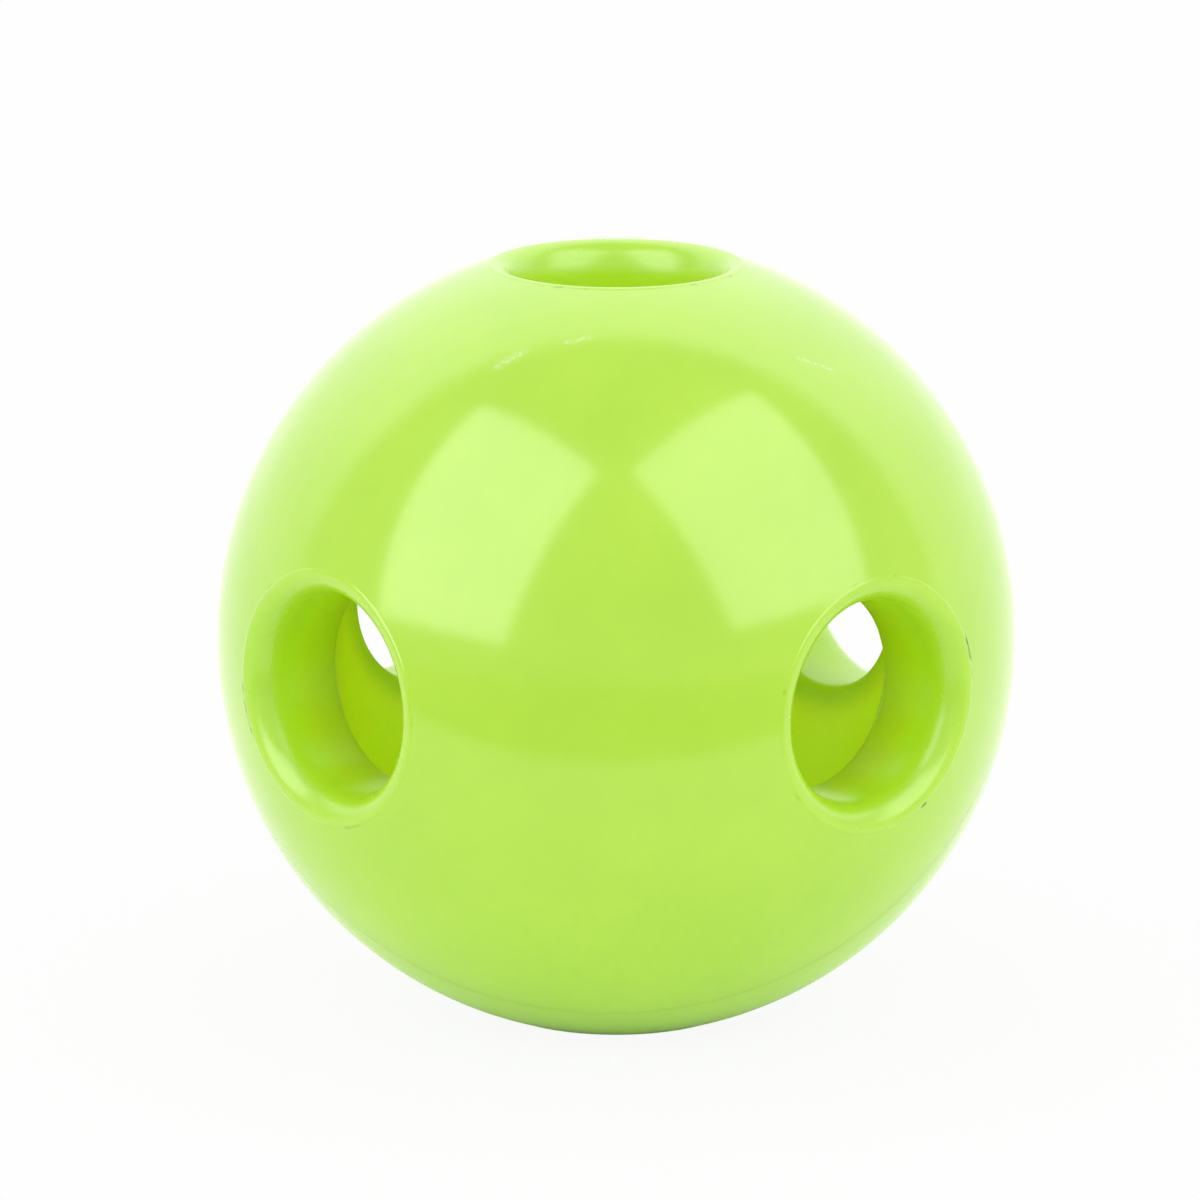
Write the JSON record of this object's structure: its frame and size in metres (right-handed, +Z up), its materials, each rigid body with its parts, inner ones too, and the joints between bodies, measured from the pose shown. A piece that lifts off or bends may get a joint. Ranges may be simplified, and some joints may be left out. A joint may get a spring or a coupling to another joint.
{
  "type": "pickleball",
  "caption": "Thick-walled hollow ball of glossy lime plastic with large round-lipped holes facing up, down and to each side, for paddle games and throwing. It rests on a hole's lip.",
  "frame": {"origin": "centre of the ball", "axes": "+Z up through the top hole, X and Y through the side holes"},
  "size_m": [0.0704, 0.0704, 0.0704],
  "materials": {
    "upper_shell_plastic": "polished moulded plastic",
    "lower_shell_plastic": "polished moulded plastic",
    "set_cement": "set clear cement, tinted by the shells"
  },
  "bodies": {
    "root": {"upper_half_shell": "upper_shell_plastic", "lower_half_shell": "lower_shell_plastic", "seam_cement_ring": "set_cement"}
  },
  "joints": []
}
